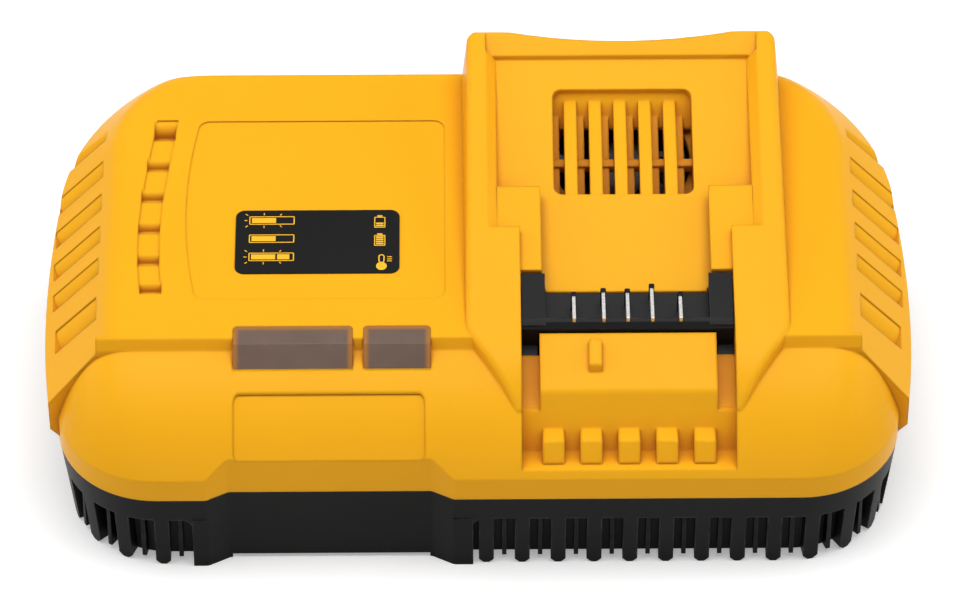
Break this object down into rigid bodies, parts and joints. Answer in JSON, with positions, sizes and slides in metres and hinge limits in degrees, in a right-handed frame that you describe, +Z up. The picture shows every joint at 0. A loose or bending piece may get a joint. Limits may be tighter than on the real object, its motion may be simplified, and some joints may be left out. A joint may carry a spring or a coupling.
{
  "type": "power tool battery charger",
  "caption": "Mains battery charger with a sloped slide-on battery dock, spade terminals, fan vent, side louvres, smoked indicator lenses and a ribbed base tray.",
  "frame": {"origin": "on the ground under the middle of the housing", "axes": "+Z up, front with the indicator lenses towards -Y, battery dock on the +X side"},
  "size_m": [0.2332, 0.125, 0.0803],
  "materials": {
    "yellow_plastic": "satin",
    "black_plastic": "satin",
    "smoked_lens": "gloss",
    "terminal_metal": "bright",
    "screw_steel": "zinc plated",
    "board_green": "satin",
    "black_label": "matt print",
    "led_epoxy": "gloss",
    "ferrite": "matt",
    "winding_tape": "satin",
    "copper_wire": "enamelled",
    "capacitor_sleeve": "satin",
    "sink_aluminium": "as extruded",
    "device_epoxy": "matt",
    "fuse_glass": "clear",
    "header_nylon": "satin",
    "cord_rubber": "matt",
    "wire_red": "satin"
  },
  "bodies": {
    "housing": {"top_cover": "yellow_plastic", "base_tray": "black_plastic", "terminal_block": "black_plastic", "terminal_blades": "terminal_metal", "terminal_board": "board_green", "block_screws": "screw_steel", "indicator_lens_long": "smoked_lens", "indicator_lens_short": "smoked_lens", "led_board": "board_green", "indicator_leds": "led_epoxy", "led_board_screws": "screw_steel", "legend_label": "black_label", "fan_frame": "black_plastic", "fan_screws": "screw_steel", "main_board": "board_green", "board_screws": "screw_steel", "housing_screws": "screw_steel", "transformer_core": "ferrite", "transformer_winding": "winding_tape", "line_choke_core": "ferrite", "line_choke_winding": "copper_wire", "input_capacitor": "capacitor_sleeve", "output_capacitors": "capacitor_sleeve", "primary_heat_sink": "sink_aluminium", "output_heat_sink": "sink_aluminium", "power_transistor": "device_epoxy", "output_rectifier": "device_epoxy", "bridge_rectifier": "device_epoxy", "fuse": "fuse_glass", "fuse_clips": "terminal_metal", "control_chip": "device_epoxy", "mains_header": "header_nylon", "fan_header": "header_nylon", "output_header": "header_nylon", "cord_inlet": "cord_rubber", "mains_lead": "cord_rubber", "fan_lead": "wire_red", "terminal_lead": "wire_red"},
    "fan": {"fan_rotor": "black_plastic"}
  },
  "joints": [
    {"name": "fan_spin", "type": "hinge", "parent": "housing", "child": "fan", "pos_m": [0.0395, 0.03556, 0.05071], "axis": [0, -0.2924, 0.9563], "continuous": true}
  ]
}
